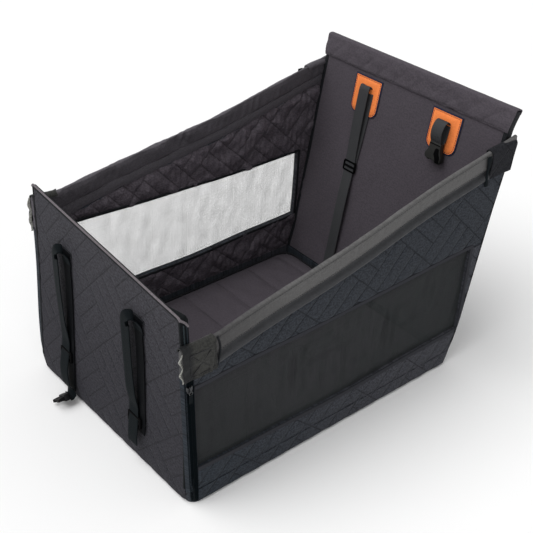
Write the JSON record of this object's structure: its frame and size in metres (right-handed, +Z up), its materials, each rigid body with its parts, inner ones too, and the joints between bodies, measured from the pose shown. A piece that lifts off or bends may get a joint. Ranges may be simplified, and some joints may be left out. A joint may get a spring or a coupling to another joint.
{
  "type": "dog car seat",
  "caption": "Open-topped fabric dog car seat: padded floor, mesh-windowed side walls, and a front and back panel that fold flat over the floor, with webbing straps.",
  "frame": {"origin": "centre of the base's flat underside", "axes": "+Z up, +Y from the low front panel towards the high back panel, +X to the right looking along +Y"},
  "size_m": [0.5108, 0.7811, 0.5055],
  "materials": {
    "quilted_fabric": "matt woven polyester, quilted in a herringbone of stitched lines",
    "lining_fabric": "matt dark grey woven lining",
    "mesh_fabric": "open black mesh",
    "sleeve_fabric": "smooth padded polyester hem",
    "trim_fabric": "grey binding tape and piping",
    "webbing": "black ribbed webbing",
    "zip_tape": "black zip tape",
    "slider_metal": "black painted zip slider",
    "buckle_plastic": "moulded black plastic",
    "board_plastic": "hollow plastic board, hidden",
    "foam": "soft foam strip, hidden",
    "patch_orange": "bright orange coated fabric patch"
  },
  "bodies": {
    "base": {"base_cover": "quilted_fabric", "base_board": "board_plastic", "floor_cushion": "lining_fabric", "cushion_piping": "trim_fabric", "left_wall_lower_band": "quilted_fabric", "left_wall_upper_band": "quilted_fabric", "left_wall_rear_band": "quilted_fabric", "left_mesh_window": "mesh_fabric", "left_front_zip": "zip_tape", "left_rail_sleeve": "sleeve_fabric", "left_rail_hem": "trim_fabric", "left_rail_webbing": "webbing", "left_rail_foam": "foam", "left_front_tab": "webbing", "left_rear_flap": "quilted_fabric", "right_wall_lower_band": "quilted_fabric", "right_wall_upper_band": "quilted_fabric", "right_wall_rear_band": "quilted_fabric", "right_mesh_window": "mesh_fabric", "right_front_zip": "zip_tape", "right_rail_sleeve": "sleeve_fabric", "right_rail_hem": "trim_fabric", "right_rail_webbing": "webbing", "right_rail_foam": "foam", "right_front_tab": "webbing", "right_rear_flap": "quilted_fabric"},
    "front_panel": {"front_outer_cover": "quilted_fabric", "front_board": "board_plastic", "front_lining": "lining_fabric", "front_binding": "trim_fabric"},
    "back_panel": {"back_outer_cover": "quilted_fabric", "back_board": "board_plastic", "back_lining": "lining_fabric", "back_top_flap": "quilted_fabric", "back_left_binding": "trim_fabric", "back_right_binding": "trim_fabric", "back_left_patch": "patch_orange", "back_right_patch": "patch_orange", "back_left_strap": "webbing"},
    "front_left_strap": {"front_left_strap": "webbing", "front_left_plug": "buckle_plastic"},
    "front_right_strap": {"front_right_strap": "webbing"},
    "front_left_triglide": {"front_left_triglide": "buckle_plastic"},
    "front_right_triglide": {"front_right_triglide": "buckle_plastic"},
    "back_right_loop": {"back_right_strap": "webbing", "back_right_socket": "buckle_plastic"},
    "back_left_triglide": {"back_left_triglide": "buckle_plastic"},
    "left_zip_slider": {"left_zip_slider": "slider_metal", "left_zip_pull": "webbing"},
    "right_zip_slider": {"right_zip_slider": "slider_metal", "right_zip_pull": "webbing"},
    "left_rear_pull": {"left_rear_pull": "webbing"},
    "right_rear_pull": {"right_rear_pull": "webbing"}
  },
  "joints": [
    {"name": "back_fold", "type": "hinge", "parent": "base", "child": "back_panel", "pos_m": [0, 0.296, 0.03], "axis": [1, 0, 0], "range_deg": [0, 89]},
    {"name": "front_fold", "type": "hinge", "parent": "base", "child": "front_panel", "pos_m": [0, -0.296, 0.03], "axis": [-1, 0, 0], "range_deg": [0, 84]},
    {"name": "front_left_strap_swing", "type": "hinge", "parent": "front_panel", "child": "front_left_strap", "pos_m": [-0.14, -0.29681, 0.30242], "axis": [1, 0, 0], "range_deg": [-90, 0]},
    {"name": "front_right_strap_swing", "type": "hinge", "parent": "front_panel", "child": "front_right_strap", "pos_m": [0.095, -0.29681, 0.30242], "axis": [1, 0, 0], "range_deg": [-90, 0]},
    {"name": "front_left_triglide_slide", "type": "slide", "parent": "front_left_strap", "child": "front_left_triglide", "axis": [0, 0.0532, 0.9986], "range_m": [-0.03, 0.15]},
    {"name": "front_right_triglide_slide", "type": "slide", "parent": "front_right_strap", "child": "front_right_triglide", "axis": [0, 0.0532, 0.9986], "range_m": [-0.03, 0.15]},
    {"name": "back_right_loop_swing", "type": "hinge", "parent": "back_panel", "child": "back_right_loop", "pos_m": [0.1045, 0.37538, 0.42733], "axis": [1, 0, 0], "range_deg": [-90, 0]},
    {"name": "back_left_triglide_slide", "type": "slide", "parent": "back_panel", "child": "back_left_triglide", "axis": [0, 0.2036, 0.979], "range_m": [-0.15, 0.1]},
    {"name": "left_zip_slide", "type": "slide", "parent": "base", "child": "left_zip_slider", "axis": [0, 0, -1], "range_m": [0, 0.2]},
    {"name": "right_zip_slide", "type": "slide", "parent": "base", "child": "right_zip_slider", "axis": [0, 0, -1], "range_m": [0, 0.2]},
    {"name": "left_rear_pull_swing", "type": "hinge", "parent": "base", "child": "left_rear_pull", "pos_m": [-0.2529, 0.31482, 0.43352], "axis": [0, 1, 0], "range_deg": [0, 80]},
    {"name": "right_rear_pull_swing", "type": "hinge", "parent": "base", "child": "right_rear_pull", "pos_m": [0.2529, 0.31482, 0.43352], "axis": [0, -1, 0], "range_deg": [0, 80]}
  ]
}
